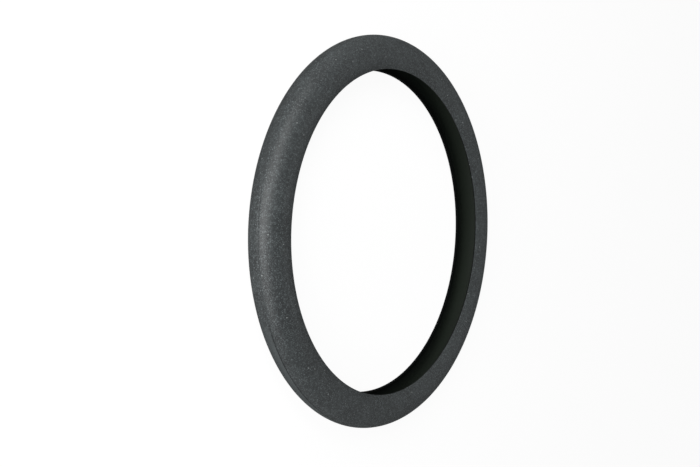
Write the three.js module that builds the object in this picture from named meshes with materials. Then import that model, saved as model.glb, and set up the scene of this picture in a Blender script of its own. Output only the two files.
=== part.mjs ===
// A steering wheel cover: one moulded ring of flexible rubber with a C-shaped section,
// open towards the middle, which is stretched over the rim of a wheel and grips it.
// Millimetres. The ring lies flat with its axis along +Z and its front face up,
// and the origin is its centre, halfway through its width.
import * as THREE from "three";

// The ring and its section, which follows an ellipse
const outerDiameter = 380; // over the tread, the outside that the hand wraps round
const sectionDepth = 39.7; // the ellipse's length along the radius
const sectionWidth = 33.8; // the ellipse's length along the axis
const mouthWidth = 25.2; // along the axis, between the edges of the two lips
const landWidth = 5; // the flat ring on each flank, which the cover rests on

// The wall, thickest where the hand presses and thinnest at the lips, which have to stretch
const treadWall = 4;
const flankWall = 3;
const lipWall = 2;

// The groove left round the tread where the halves of the mould met
const grooveHeight = 3.5; // from the middle plane towards the front
const grooveWidth = 0.9;
const grooveDepth = 0.35;

// Facets
const ringSteps = 88;
const outerStep = THREE.MathUtils.degToRad(9);
const innerStep = THREE.MathUtils.degToRad(12);
const lipSteps = 4;

const rubber = new THREE.MeshStandardMaterial({ color: 0x3a3e42, roughness: 0.55, metalness: 0 });

const halfDepth = sectionDepth / 2;
const halfWidth = sectionWidth / 2;
const sectionRadius = outerDiameter / 2 - halfDepth; // from the axis to the ellipse's centre

// Angles on the ellipse are measured from the tread, and are positive towards the front.
const angleAtHeight = (height) => Math.asin(height / halfWidth);
const lipAngle = Math.PI - angleAtHeight(mouthWidth / 2);
const landAngle = Math.acos(landWidth / 2 / halfDepth); // where each land starts on the tread's side

// The outside of the section at an angle, moved inwards through the wall by a depth.
function pointAt(angle, depth = 0) {
  const point = new THREE.Vector2(halfDepth * Math.cos(angle), halfWidth * Math.sin(angle));
  return point.addScaledVector(outwardAt(angle), -depth).add(new THREE.Vector2(sectionRadius, 0));
}

function outwardAt(angle) {
  return new THREE.Vector2(Math.cos(angle) / halfDepth, Math.sin(angle) / halfWidth).normalize();
}

// The wall goes smoothly from the tread to the flanks, and from there to the lips.
function wallAt(angle) {
  const turn = Math.abs(angle);
  const quarter = Math.PI / 2;
  if (turn < quarter) {
    return THREE.MathUtils.lerp(treadWall, flankWall, THREE.MathUtils.smoothstep(turn, 0, quarter));
  }
  return THREE.MathUtils.lerp(flankWall, lipWall, THREE.MathUtils.smoothstep(turn, quarter, lipAngle));
}

// Points along the section from one angle to another, both ends included.
function arc(from, to, step, depthAt = () => 0) {
  const steps = Math.ceil(Math.abs(to - from) / step);
  return Array.from({ length: steps + 1 }, (_, i) => {
    const angle = THREE.MathUtils.lerp(from, to, i / steps);
    return pointAt(angle, depthAt(angle));
  });
}

// A half circle that rounds a lip over, from one side of its wall to the other.
function lipRound(side) {
  const outer = pointAt(side * lipAngle);
  const inner = pointAt(side * lipAngle, lipWall);
  const middle = outer.clone().lerp(inner, 0.5);
  const turn = Math.PI / lipSteps;
  return Array.from({ length: lipSteps - 1 }, (_, i) =>
    outer.clone().rotateAround(middle, side * (i + 1) * turn),
  );
}

// The closed outline of the section: round the outside from the back lip to the front lip,
// over the lip, back along the inside of the channel and over the back lip.
function sectionOutline() {
  const grooveStart = angleAtHeight(grooveHeight - grooveWidth / 2);
  const grooveEnd = angleAtHeight(grooveHeight + grooveWidth / 2);
  const outline = [
    ...arc(-lipAngle, landAngle - Math.PI, outerStep),
    ...arc(-landAngle, grooveStart, outerStep),
    pointAt(angleAtHeight(grooveHeight), grooveDepth),
    ...arc(grooveEnd, landAngle, outerStep),
    ...arc(Math.PI - landAngle, lipAngle, outerStep),
    ...lipRound(1),
    ...arc(lipAngle, -lipAngle, innerStep, wallAt),
    ...lipRound(-1).reverse(),
  ];
  return [...outline, outline[0].clone()];
}

function makeCover() {
  const ring = new THREE.LatheGeometry(sectionOutline(), ringSteps);
  ring.rotateX(Math.PI / 2); // the lathe turns about +Y, and the wheel's axis is +Z
  const cover = new THREE.Mesh(ring, rubber);
  cover.name = "wheel_cover";
  return cover;
}

const steeringWheelCover = new THREE.Group();
steeringWheelCover.add(makeCover());

export default steeringWheelCover;
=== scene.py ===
# A steering wheel cover: one moulded ring of soft charcoal rubber, grained like leather outside
# and smooth and black in its channel. It lies on its back on a plain white floor, and the camera
# looks down on it, turned so that the ring's +Y is up in the picture. Lengths are in metres.
import math

import bmesh
import bpy
from mathutils import Matrix, Vector


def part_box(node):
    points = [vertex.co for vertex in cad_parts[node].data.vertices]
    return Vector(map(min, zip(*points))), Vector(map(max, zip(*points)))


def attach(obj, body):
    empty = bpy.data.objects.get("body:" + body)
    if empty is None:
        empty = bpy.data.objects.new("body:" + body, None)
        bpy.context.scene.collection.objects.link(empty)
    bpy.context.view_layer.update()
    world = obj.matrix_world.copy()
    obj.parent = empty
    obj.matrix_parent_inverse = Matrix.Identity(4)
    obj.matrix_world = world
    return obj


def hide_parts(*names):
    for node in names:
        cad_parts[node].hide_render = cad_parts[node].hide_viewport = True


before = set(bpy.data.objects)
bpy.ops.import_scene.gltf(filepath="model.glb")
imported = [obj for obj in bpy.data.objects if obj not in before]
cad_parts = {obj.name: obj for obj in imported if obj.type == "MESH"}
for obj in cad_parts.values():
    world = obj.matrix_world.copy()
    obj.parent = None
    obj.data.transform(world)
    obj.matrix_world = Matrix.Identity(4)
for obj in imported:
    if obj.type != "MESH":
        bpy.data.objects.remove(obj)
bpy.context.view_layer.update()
coverLow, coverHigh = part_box("wheel_cover")
print("frame loaded")


# Shared helpers for materials and meshes


def addNode(tree, kind, inputs=None, **settings):
    node = tree.nodes.new(kind)
    for name, value in settings.items():
        setattr(node, name, value)
    for name, value in (inputs or {}).items():
        if isinstance(value, bpy.types.NodeSocket):
            tree.links.new(value, node.inputs[name])
        else:
            node.inputs[name].default_value = value
    return node


def mathNode(tree, operation, first, second=0.0, clamp=False):
    node = addNode(tree, "ShaderNodeMath", {0: first, 1: second}, operation=operation, use_clamp=clamp)
    return node.outputs[0]


def vectorNode(tree, operation, first, second):
    return addNode(tree, "ShaderNodeVectorMath", {0: first, 1: second}, operation=operation)


def rampNode(tree, value, fromMin, fromMax, toMin=0.0, toMax=1.0):
    # a smooth step from one level to another
    node = addNode(
        tree,
        "ShaderNodeMapRange",
        {"Value": value, "From Min": fromMin, "From Max": fromMax, "To Min": toMin, "To Max": toMax},
        interpolation_type="SMOOTHSTEP",
    )
    return node.outputs[0]


def mixColours(tree, factor, first, second):
    # sockets 6 and 7 of the node are its two colours, and output 2 is their mix
    node = addNode(tree, "ShaderNodeMix", {"Factor": factor, 6: first, 7: second}, data_type="RGBA")
    return node.outputs[2]


def noiseNode(tree, place, scale, detail=2.0):
    return addNode(tree, "ShaderNodeTexNoise", {"Vector": place, "Scale": scale, "Detail": detail})


def edgeDistance(tree, place, scale):
    # how far it is to the nearest edge between two cells
    inputs = {"Vector": place, "Scale": scale}
    return addNode(tree, "ShaderNodeTexVoronoi", inputs, feature="DISTANCE_TO_EDGE").outputs["Distance"]


def raiseSurface(tree, shader, height, distance):
    bump = addNode(tree, "ShaderNodeBump", {"Height": height, "Distance": distance, "Strength": 1.0})
    tree.links.new(bump.outputs["Normal"], shader.inputs["Normal"])


def newGroup(name, numbers, results):
    # a shared effect that reads a position and some numbers, and puts out numbers
    group = bpy.data.node_groups.new(name, "ShaderNodeTree")
    group.interface.new_socket("Position", in_out="INPUT", socket_type="NodeSocketVector")
    for number in numbers:
        group.interface.new_socket(number, in_out="INPUT", socket_type="NodeSocketFloat")
    for result in results:
        group.interface.new_socket(result, in_out="OUTPUT", socket_type="NodeSocketFloat")
    return group, group.nodes.new("NodeGroupInput"), group.nodes.new("NodeGroupOutput")


def placeGroup(tree, group, inputs):
    return addNode(tree, "ShaderNodeGroup", inputs, node_tree=group)


def newMaterial(name):
    material = bpy.data.materials.new(name)
    material.use_nodes = True
    tree = material.node_tree
    tree.nodes.clear()
    output = tree.nodes.new("ShaderNodeOutputMaterial")
    shader = tree.nodes.new("ShaderNodeBsdfPrincipled")
    tree.links.new(shader.outputs[0], output.inputs["Surface"])
    place = tree.nodes.new("ShaderNodeTexCoord").outputs["Object"]
    return material, tree, shader, place


def makeObject(name, mesh):
    data = bpy.data.meshes.new(name)
    mesh.to_mesh(data)
    mesh.free()
    thing = bpy.data.objects.new(name, data)
    bpy.context.scene.collection.objects.link(thing)
    return thing


# Shared effects


grainPattern = {
    "bendScale": 300.0,  # of the noise that bends the pebbles' edges; all scales are per metre
    "bendReach": 0.002,
    "smallPebbles": 2.3,  # how many times finer the second set of creases is
    "smallDepth": 0.4,  # and how deep they are, against the first
    "crownWidth": 0.45,  # from a crease to the flat top of a pebble, in pebble sizes
    "swellScale": 300.0,
    "patchScale": 45.0,
    "patchRange": (0.38, 0.62),
    "patchStrength": (0.8, 1.0),  # of the grain, where it has faded most and where it hasn't
}


def bendPlace(tree, place):
    # moves the pattern a little to and fro, so that the pebbles' edges aren't straight
    wobble = noiseNode(tree, place, grainPattern["bendScale"]).outputs["Color"]
    centred = vectorNode(tree, "SUBTRACT", wobble, (0.5, 0.5, 0.5)).outputs[0]
    inputs = {0: centred, "Scale": grainPattern["bendReach"]}
    moved = addNode(tree, "ShaderNodeVectorMath", inputs, operation="SCALE").outputs[0]
    return vectorNode(tree, "ADD", place, moved).outputs[0]


def makeLeatherGrain():
    # Irregular pebbles between fine creases, in two sizes, on a slow swell, as pressed by a mould
    # that was cut to look like leather. At a Strength of 0 there is no grain, and it also grows and
    # fades in patches. Tone is a random level for each pebble.
    group, given, result = newGroup(
        "leatherGrain", ("Pebble Size", "Crease Width", "Swell", "Strength"), ("Height", "Crease", "Tone")
    )
    values = grainPattern
    place = given.outputs["Position"]
    width = given.outputs["Crease Width"]
    perMetre = mathNode(group, "DIVIDE", 1.0, given.outputs["Pebble Size"])

    bent = bendPlace(group, place)
    pebble = edgeDistance(group, bent, perMetre)
    cell = addNode(group, "ShaderNodeTexVoronoi", {"Vector": bent, "Scale": perMetre}).outputs["Color"]
    tone = addNode(group, "ShaderNodeSeparateColor", {"Color": cell}).outputs["Red"]
    crease = rampNode(group, pebble, 0.0, width, 1.0, 0.0)
    smallPebble = edgeDistance(group, bent, mathNode(group, "MULTIPLY", perMetre, values["smallPebbles"]))
    smallCrease = rampNode(group, smallPebble, 0.0, width, 1.0, 0.0)
    swell = noiseNode(group, place, values["swellScale"]).outputs["Fac"]
    patch = noiseNode(group, place, values["patchScale"]).outputs["Fac"]
    fading = rampNode(group, patch, *values["patchRange"], *values["patchStrength"])
    strength = mathNode(group, "MULTIPLY", fading, given.outputs["Strength"])

    crown = rampNode(group, pebble, 0.0, values["crownWidth"])
    lowered = mathNode(group, "MULTIPLY", smallCrease, values["smallDepth"])
    raised = mathNode(group, "SUBTRACT", crown, lowered)
    pressed = mathNode(group, "MULTIPLY", raised, strength)
    swollen = mathNode(group, "MULTIPLY", swell, given.outputs["Swell"])
    group.links.new(mathNode(group, "ADD", pressed, swollen), result.inputs["Height"])
    group.links.new(mathNode(group, "MULTIPLY", crease, strength), result.inputs["Crease"])
    # sockets 2 and 3 are the node's two numbers: the tones even out where the grain fades
    levelled = addNode(group, "ShaderNodeMix", {"Factor": strength, 2: 0.5, 3: tone}).outputs[0]
    group.links.new(levelled, result.inputs["Tone"])
    return group


speckEdge = {
    "reach": 1.6,  # of a speck with its soft edge, against its radius
    "core": 0.5,  # the share of that reach where it is in full
}


def makeSpecks():
    # Sparse round specks, one at most in each cell, kept where the cell's random number is low.
    # Spacing is the size of the cells, and Radius is a share of it.
    group, given, result = newGroup("sparseSpecks", ("Spacing", "Share", "Radius"), ("Mask",))
    perMetre = mathNode(group, "DIVIDE", 1.0, given.outputs["Spacing"])
    cell = addNode(group, "ShaderNodeTexVoronoi", {"Vector": given.outputs["Position"], "Scale": perMetre})
    dice = addNode(group, "ShaderNodeSeparateColor", {"Color": cell.outputs["Color"]}).outputs["Red"]
    kept = mathNode(group, "LESS_THAN", dice, given.outputs["Share"])
    reach = mathNode(group, "MULTIPLY", given.outputs["Radius"], speckEdge["reach"])
    core = mathNode(group, "MULTIPLY", reach, speckEdge["core"])
    dot = rampNode(group, cell.outputs["Distance"], core, reach, 1.0, 0.0)
    group.links.new(mathNode(group, "MULTIPLY", dot, kept), result.inputs["Mask"])
    return group


leatherGrain = makeLeatherGrain()
sparseSpecks = makeSpecks()
print("shared effects made")


# Sizes of the cover

cover = {
    "sectionDepth": 0.0397,  # the section's ellipse along the radius
    "sectionWidth": 0.0338,  # and along the axis
    "mouthWidth": 0.0252,  # between the lips
    "treadWall": 0.004,
    "flankWall": 0.003,
    "lipWall": 0.002,
    "lipRounding": 0.0008,
    "lipSegments": 4,
    "lipAngle": 80,  # edges sharper than this, in degrees, are rounded
    "grooveHeight": 0.0035,  # the parting groove, above the middle plane
    "grooveWidth": 0.0009,
    "grooveDepth": 0.0001,
    "sectionPoints": 84,
    "ringSteps": 320,
    "weldDistance": 1e-6,  # points nearer than this are one
    "cutDistance": 1e-7,
}


# The three finishes of the moulding: grained outside, smooth in the channel, matt on the lips

grainedFinish = {
    "colour": (0.0093, 0.0128, 0.0137, 1.0),
    # painted shade for the creases and pits and on the back half; the parting groove is darkened with it
    # too
    "creaseShadeColour": (0.0034, 0.0051, 0.0057, 1.0),
    "paleColour": (0.0735, 0.0859, 0.0885, 1.0),
    "cloudShare": 0.1,  # of the slow cloudiness in the colour, against the pebbles' own tone
    "cloudScale": 120.0,
    "cloudDetail": 4.0,
    "cloudRange": (0.35, 0.65),
    "speckColour": (0.22, 0.235, 0.235, 1.0),
    "specks": {"Spacing": 0.0075, "Share": 0.6, "Radius": 0.06},  # of pale dust
    # small pits, lowered in the relief and filled with painted shade
    "pits": {"Spacing": 0.021, "Share": 0.3, "Radius": 0.025},
    "gloss": 0.437,
    "roughness": 0.39,
    "creaseRoughness": 0.5,
    "pebbleSize": 0.0015,
    "creaseWidth": 0.26,
    "swell": 0.06,  # height of the slow unevenness, against the grain's
    "grainDepth": 0.000066,
    "partingSide": (-0.643, -0.766, 0.0),  # where on the ring the parting groove shows most
    "partingReach": (0.86, 0.95),  # cosines to that side, from where it starts to where it is in full
    "partingFaint": 0.05,  # how much it shows elsewhere
    "partingHalfWidth": 0.00055,
    "partingCore": 0.4,  # the share of that where it is fully dark
    "partingMatt": 0.4,  # how much rougher the groove itself is
    "partingFade": 0.0012,  # the surface behind it is smooth in full this far below it
    "partingSmooth": 0.75,  # how much of the grain is missing there
    "partingPaintedShade": 0.12,  # and how much painted shade darkens that surface
    "grainReach": (0.3, 0.95),  # cosines to the same side, between which the grain gets stronger
    "grainShare": (0.97, 1.12),  # its strength before and after them
    "grazingFacing": (0.1, 1.0),  # the facing weight at which the gloss starts to soften, and in full
    "grazingMatt": 0.66,  # how much rougher it gets where it is seen at a flat angle
    "backReach": (0.3, 0.62),  # cosines to that side, between which the back half stops differing
    "backHeight": -0.007,  # from the groove down to this height the difference grows
    "backMatt": 0.2,  # how much rougher the back half of the moulding is than the front half
    "backPaintedShade": 0.2,  # and how much painted shade darkens it
    "stepFade": 0.0008,  # and within this height below the groove
    "stepPaintedShade": 0.28,  # where painted shade makes it this much darker at once
}


def ringMasks(tree, place):
    values = grainedFinish
    around = vectorNode(tree, "MULTIPLY", place, (1.0, 1.0, 0.0)).outputs[0]
    direction = addNode(tree, "ShaderNodeVectorMath", {0: around}, operation="NORMALIZE").outputs[0]
    towards = vectorNode(tree, "DOT_PRODUCT", direction, values["partingSide"]).outputs["Value"]
    height = addNode(tree, "ShaderNodeSeparateXYZ", {"Vector": place}).outputs["Z"]
    fromGroove = mathNode(tree, "SUBTRACT", height, cover["grooveHeight"])

    # along one stretch of the ring the parting groove is dark and the surface behind it smooth
    stretch = rampNode(tree, towards, *values["partingReach"])
    near = mathNode(tree, "ABSOLUTE", fromGroove)
    halfWidth = values["partingHalfWidth"]
    inGroove = rampNode(tree, near, halfWidth * values["partingCore"], halfWidth, 1.0, 0.0)
    shown = rampNode(tree, stretch, 0.0, 1.0, values["partingFaint"], 1.0)
    parting = mathNode(tree, "MULTIPLY", inGroove, shown)
    below = rampNode(tree, fromGroove, -values["partingFade"], 0.0, 1.0, 0.0)
    behind = mathNode(tree, "MULTIPLY", below, stretch)
    deep = rampNode(tree, towards, *values["grainReach"], *values["grainShare"])
    kept = rampNode(tree, behind, 0.0, 1.0, 1.0, 1.0 - values["partingSmooth"])
    strength = mathNode(tree, "MULTIPLY", deep, kept)

    # there, and on the far sides with a step at the groove, the back half is more matt and darkened by
    # painted shade
    aside = rampNode(tree, towards, *values["backReach"], 1.0, 0.0)
    marked = mathNode(tree, "MAXIMUM", aside, stretch)
    lower = rampNode(tree, height, values["backHeight"], cover["grooveHeight"], 1.0, 0.0)
    back = mathNode(tree, "MULTIPLY", lower, marked)
    drop = rampNode(tree, fromGroove, -values["stepFade"], 0.0, 1.0, 0.0)
    step = mathNode(tree, "MULTIPLY", drop, aside)
    stepPaintedShade = mathNode(tree, "MULTIPLY", step, values["stepPaintedShade"])
    behindPaintedShade = mathNode(tree, "MULTIPLY", behind, values["partingPaintedShade"])
    backPaintedShade = mathNode(tree, "MULTIPLY", back, values["backPaintedShade"])
    backShadeMask = mathNode(tree, "ADD", backPaintedShade, mathNode(tree, "ADD", stepPaintedShade, behindPaintedShade))
    return parting, strength, back, backShadeMask


def grainedColour(tree, place, grain, pits, parting, backShadeMask):
    # each pebble's tone with slow clouds, painted shade in the creases and pits, the dark parting groove,
    # painted shade on the back half, and a few pale specks of dust
    values = grainedFinish
    cloud = noiseNode(tree, place, values["cloudScale"], values["cloudDetail"]).outputs["Fac"]
    patches = rampNode(tree, cloud, *values["cloudRange"])
    cloudPart = mathNode(tree, "MULTIPLY", patches, values["cloudShare"])
    tonePart = mathNode(tree, "MULTIPLY", grain.outputs["Tone"], 1.0 - values["cloudShare"])
    mottled = mathNode(tree, "ADD", cloudPart, tonePart)
    specks = placeGroup(tree, sparseSpecks, {"Position": place, **values["specks"]})
    paintedShadeColour = values["creaseShadeColour"]
    patchy = mixColours(tree, mottled, values["colour"], values["paleColour"])
    creased = mixColours(tree, grain.outputs["Crease"], patchy, paintedShadeColour)
    pitted = mixColours(tree, pits.outputs["Mask"], creased, paintedShadeColour)
    dusted = mixColours(tree, specks.outputs["Mask"], pitted, values["speckColour"])
    parted = mixColours(tree, parting, dusted, paintedShadeColour)
    return mixColours(tree, backShadeMask, parted, paintedShadeColour)


def grainedRoughness(tree, grain, parting, back):
    # more in the creases, in the parting groove, on the back half and at a flat angle
    values = grainedFinish
    roughness = addNode(tree, "ShaderNodeMapRange", {
        "Value": grain.outputs["Crease"],
        "To Min": values["roughness"],
        "To Max": values["creaseRoughness"],
    }).outputs[0]
    backMatt = mathNode(tree, "MULTIPLY", back, values["backMatt"])
    partingMatt = mathNode(tree, "MULTIPLY", parting, values["partingMatt"])
    matt = mathNode(tree, "ADD", backMatt, partingMatt)
    grazing = addNode(tree, "ShaderNodeLayerWeight").outputs["Facing"]
    flat = rampNode(tree, grazing, *values["grazingFacing"])
    soft = mathNode(tree, "MULTIPLY", flat, values["grazingMatt"])
    return mathNode(tree, "ADD", mathNode(tree, "ADD", roughness, matt), soft, clamp=True)


def makeGrainedRubber():
    material, tree, shader, place = newMaterial("grainedCharcoalRubber")
    values = grainedFinish
    shader.distribution = "GGX"
    shader.inputs["Specular IOR Level"].default_value = values["gloss"]
    parting, strength, back, backShadeMask = ringMasks(tree, place)
    grain = placeGroup(tree, leatherGrain, {
        "Position": place,
        "Pebble Size": values["pebbleSize"],
        "Crease Width": values["creaseWidth"],
        "Swell": values["swell"],
        "Strength": strength,
    })
    pits = placeGroup(tree, sparseSpecks, {"Position": place, **values["pits"]})
    colour = grainedColour(tree, place, grain, pits, parting, backShadeMask)
    tree.links.new(colour, shader.inputs["Base Color"])
    tree.links.new(grainedRoughness(tree, grain, parting, back), shader.inputs["Roughness"])
    relief = mathNode(tree, "SUBTRACT", grain.outputs["Height"], pits.outputs["Mask"])
    raiseSurface(tree, shader, relief, values["grainDepth"])
    return material


smoothFinish = {
    "lipShadeColour": (0.0014, 0.0027, 0.0023, 1.0),  # painted shade near the lips
    "floorColour": (0.0124, 0.0168, 0.0122, 1.0),  # in the depth of the channel, painted paler where light reaches
    "lipRadius": 0.1612,  # from the ring's axis
    "floorRadius": 0.180,
    "gloss": 0.14,
    "roughness": 0.7,
    "rippleScale": 350.0,
    "rippleDepth": 0.00004,
}


def makeSmoothRubber():
    # painted shade: black near the lips, slightly paler and olive towards the floor of the channel, where
    # light reaches
    material, tree, shader, place = newMaterial("smoothBlackRubber")
    values = smoothFinish
    around = vectorNode(tree, "MULTIPLY", place, (1.0, 1.0, 0.0)).outputs[0]
    radius = addNode(tree, "ShaderNodeVectorMath", {0: around}, operation="LENGTH").outputs["Value"]
    depth = addNode(
        tree,
        "ShaderNodeMapRange",
        {"Value": radius, "From Min": values["lipRadius"], "From Max": values["floorRadius"]},
    ).outputs[0]
    colour = mixColours(tree, depth, values["lipShadeColour"], values["floorColour"])
    tree.links.new(colour, shader.inputs["Base Color"])
    shader.inputs["Roughness"].default_value = values["roughness"]
    shader.inputs["Specular IOR Level"].default_value = values["gloss"]
    ripple = noiseNode(tree, place, values["rippleScale"]).outputs["Fac"]
    raiseSurface(tree, shader, ripple, values["rippleDepth"])
    return material


lipFinish = {
    "colour": (0.0012, 0.0016, 0.0016, 1.0),
    "paleColour": (0.003, 0.0035, 0.0035, 1.0),
    "cloudScale": 220.0,
    "cloudRange": (0.45, 0.7),
    "gloss": 0.06,
    "roughness": 0.8,
}


def makeLipRubber():
    # the matt black edge where the moulding was trimmed
    material, tree, shader, place = newMaterial("trimmedBlackLip")
    values = lipFinish
    cloud = noiseNode(tree, place, values["cloudScale"]).outputs["Fac"]
    patches = rampNode(tree, cloud, *values["cloudRange"])
    colour = mixColours(tree, patches, values["colour"], values["paleColour"])
    tree.links.new(colour, shader.inputs["Base Color"])
    shader.inputs["Roughness"].default_value = values["roughness"]
    shader.inputs["Specular IOR Level"].default_value = values["gloss"]
    return material


grainedRubber = makeGrainedRubber()
smoothRubber = makeSmoothRubber()
lipRubber = makeLipRubber()
print("finishes made")


# The cover


def makeSection(mesh):
    # an ellipse in the XZ plane, open at its mouth, with the parting groove pressed into its tread
    halfDepth, halfWidth = cover["sectionDepth"] / 2, cover["sectionWidth"] / 2
    halfMouth, hair = cover["mouthWidth"] / 2, cover["weldDistance"]
    centre = coverHigh.x - halfDepth
    bmesh.ops.create_circle(
        mesh,
        cap_ends=False,
        radius=1.0,
        segments=cover["sectionPoints"],
        matrix=Matrix.Rotation(math.pi / 2, 4, "X"),
    )
    bmesh.ops.scale(mesh, vec=(halfDepth, 1.0, halfWidth), verts=mesh.verts[:])
    bmesh.ops.translate(mesh, vec=(centre, 0.0, 0.0), verts=mesh.verts[:])

    def cutAt(height):
        bmesh.ops.bisect_plane(
            mesh,
            geom=mesh.verts[:] + mesh.edges[:],
            dist=cover["cutDistance"],
            plane_co=(0, 0, height),
            plane_no=(0, 0, 1),
        )

    grooveTop = cover["grooveHeight"] + cover["grooveWidth"] / 2
    grooveFoot = cover["grooveHeight"] - cover["grooveWidth"] / 2
    for height in (-halfMouth, grooveFoot, cover["grooveHeight"], grooveTop, halfMouth):
        cutAt(height)
    mouth = [v for v in mesh.verts if v.co.x < centre and abs(v.co.z) < halfMouth - hair]
    bmesh.ops.delete(mesh, geom=mouth, context="VERTS")
    for v in mesh.verts:
        if grooveFoot + hair < v.co.z < grooveTop - hair:
            v.co.x -= cover["grooveDepth"]
        v.co.z = max(coverLow.z, min(coverHigh.z, v.co.z))  # the flat land on each flank
    return centre, halfDepth, halfWidth


def wallAt(turn, lipTurn):
    # the wall thins smoothly from the tread to the flanks, and from there to the lips; turn is the
    # angle round the section, starting at the tread
    quarter = math.pi / 2
    if turn < quarter:
        start, end, share = cover["treadWall"], cover["flankWall"], turn / quarter
    else:
        start, end, share = cover["flankWall"], cover["lipWall"], (turn - quarter) / (lipTurn - quarter)
    share = max(0.0, min(1.0, share))
    return start + (end - start) * share * share * (3 - 2 * share)


def turnFacesOut(mesh):
    bmesh.ops.recalc_face_normals(mesh, faces=mesh.faces[:])
    outermost = max(mesh.faces, key=lambda face: face.calc_center_median().xy.length)
    if outermost.normal.xy.dot(outermost.calc_center_median().xy) < 0:
        bmesh.ops.reverse_faces(mesh, faces=mesh.faces[:])


def giveWall(ring):
    wall = ring.modifiers.new("wall", "SOLIDIFY")
    wall.thickness = cover["treadWall"]
    wall.offset = -1.0
    wall.vertex_group = "wall"
    wall.material_offset = 1  # the channel takes the second finish
    wall.material_offset_rim = 2  # and the lips the third
    lips = ring.modifiers.new("lips", "BEVEL")
    lips.width = cover["lipRounding"]
    lips.segments = cover["lipSegments"]
    lips.limit_method = "ANGLE"
    lips.angle_limit = math.radians(cover["lipAngle"])
    lips.material = 2  # the third finish here too
    lips.harden_normals = False


def makeCover():
    mesh = bmesh.new()
    centre, halfDepth, halfWidth = makeSection(mesh)
    bmesh.ops.spin(
        mesh,
        geom=mesh.verts[:] + mesh.edges[:],
        cent=(0, 0, 0),
        axis=(0, 0, 1),
        angle=2 * math.pi,
        steps=cover["ringSteps"],
        use_merge=True,
    )
    bmesh.ops.remove_doubles(mesh, verts=mesh.verts[:], dist=cover["weldDistance"])
    turnFacesOut(mesh)

    # each point's share of the thickest wall, which the group of that name holds
    walls = mesh.verts.layers.deform.verify()
    lipTurn = math.pi - math.asin(cover["mouthWidth"] / 2 / halfWidth)
    for v in mesh.verts:
        turn = abs(math.atan2(v.co.z / halfWidth, (v.co.xy.length - centre) / halfDepth))
        v[walls][0] = wallAt(turn, lipTurn) / cover["treadWall"]
    for face in mesh.faces:
        face.smooth = True

    ring = makeObject("wheelCover", mesh)
    for finish in (grainedRubber, smoothRubber, lipRubber):
        ring.data.materials.append(finish)
    ring.vertex_groups.new(name="wall")
    giveWall(ring)
    return ring


wheelCover = makeCover()
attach(wheelCover, "root")
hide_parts("wheel_cover")
print("cover made")


# Floor, background and lights

studio = {
    "floorSize": 60.0,
    "floorGap": 0.0001,  # under the cover
    "floorColour": (0.6, 0.6, 0.6, 1.0),  # for the light that it throws back at the cover
    "floorGlow": 0.94,  # the floor's plain white, as seen directly
    "shadowColour": (0.1, 0.1, 0.1, 1.0),  # and its matt share there, which keeps the cover's soft shadow
    "worldStrength": 0.08,  # of the light from all around; seen directly, that too is plain white
}


def seenDirectly(tree):
    # 1 for rays that come straight from the camera, or by way of gloss or glass
    path = tree.nodes.new("ShaderNodeLightPath")
    either = mathNode(tree, "MAXIMUM", path.outputs["Is Camera Ray"], path.outputs["Is Glossy Ray"])
    return mathNode(tree, "MAXIMUM", either, path.outputs["Is Transmission Ray"])


def makeFloorWhite():
    material = bpy.data.materials.new("whiteFloor")
    material.use_nodes = True
    tree = material.node_tree
    tree.nodes.clear()
    output = tree.nodes.new("ShaderNodeOutputMaterial")
    seen = seenDirectly(tree)
    colour = mixColours(tree, seen, studio["floorColour"], studio["shadowColour"])
    matt = addNode(tree, "ShaderNodeBsdfDiffuse", {"Color": colour})
    glow = mathNode(tree, "MULTIPLY", seen, studio["floorGlow"])
    white = addNode(tree, "ShaderNodeEmission", {"Strength": glow})
    both = addNode(tree, "ShaderNodeAddShader", {0: matt.outputs[0], 1: white.outputs[0]})
    tree.links.new(both.outputs[0], output.inputs["Surface"])
    return material


def makeFloor():
    mesh = bmesh.new()
    bmesh.ops.create_grid(mesh, x_segments=1, y_segments=1, size=studio["floorSize"] / 2)
    bmesh.ops.translate(mesh, vec=(0, 0, coverLow.z - studio["floorGap"]), verts=mesh.verts[:])
    floor = makeObject("floor", mesh)
    floor.data.materials.append(makeFloorWhite())


def makeWorld():
    world = bpy.data.worlds.new("studio")
    bpy.context.scene.world = world
    world.use_nodes = True
    tree = world.node_tree
    tree.nodes.clear()
    output = tree.nodes.new("ShaderNodeOutputWorld")
    strength = rampNode(tree, seenDirectly(tree), 0.0, 1.0, studio["worldStrength"], 1.0)
    sky = addNode(tree, "ShaderNodeBackground", {"Strength": strength})
    tree.links.new(sky.outputs[0], output.inputs["Surface"])


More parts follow.
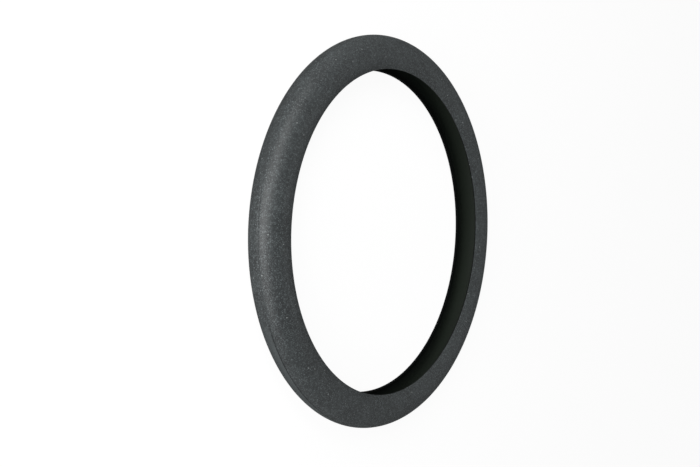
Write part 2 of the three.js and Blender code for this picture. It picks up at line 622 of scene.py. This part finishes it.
softLamps = {
    # name: place, width and height of the lamp, power in watts
    "keyLamp": ((-1.34, 0.09, 0.40), (0.7, 1.0), 16.1),
    "highLamp": ((-0.87, 0.76, 0.79), (0.5, 0.8), 7.6),
    "topLamp": ((-0.30, 1.19, 0.69), (0.5, 0.5), 2.0),
    "lowLamp": ((-1.15, -0.68, 0.42), (0.5, 0.5), 5.2),
}


def makeLamp(name, place, sides, power):
    data = bpy.data.lights.new(name, "AREA")
    data.shape = "RECTANGLE"
    data.size, data.size_y = sides
    data.energy = power
    lamp = bpy.data.objects.new(name, data)
    lamp.location = place
    lamp.rotation_mode = "QUATERNION"
    lamp.rotation_quaternion = Vector(place).to_track_quat("Z", "Y")  # turned to the cover
    bpy.context.scene.collection.objects.link(lamp)


makeFloor()
makeWorld()
for lampName, (lampPlace, lampSides, lampPower) in softLamps.items():
    makeLamp(lampName, lampPlace, lampSides, lampPower)
print("studio made")


# The camera, fitted to the ring's outlines in the photograph

view = {
    "distance": 0.9926,
    "fromAxis": 55.41,  # degrees between the ring's axis and the line of sight, towards -X
    "above": 1.23,  # degrees towards +Y
    "roll": 1.55,  # this and the next two are in degrees too
    "aimLeft": 1.95,
    "aimDown": 0.08,
    "focalPixels": 1015.2,
    "imageWidth": 700,
    "sensorWidth": 36.0,
    "nearest": 0.05,
    "farthest": 50.0,
}


def makeCamera():
    data = bpy.data.cameras.new("photoCamera")
    data.sensor_width = view["sensorWidth"]
    data.lens = view["focalPixels"] * view["sensorWidth"] / view["imageWidth"]
    data.clip_start, data.clip_end = view["nearest"], view["farthest"]
    camera = bpy.data.objects.new("photoCamera", data)
    bpy.context.scene.collection.objects.link(camera)

    def turn(name, axis, sign=1):
        return Matrix.Rotation(math.radians(sign * view[name]), 4, axis)

    towards = turn("fromAxis", "Y", -1) @ turn("above", "X", -1)
    back = Matrix.Translation((0, 0, view["distance"]))
    aim = turn("roll", "Z") @ turn("aimLeft", "Y") @ turn("aimDown", "X", -1)
    camera.matrix_world = towards @ back @ aim
    bpy.context.scene.camera = camera


makeCamera()
bpy.context.scene.view_settings.view_transform = "Standard"
print("camera made")
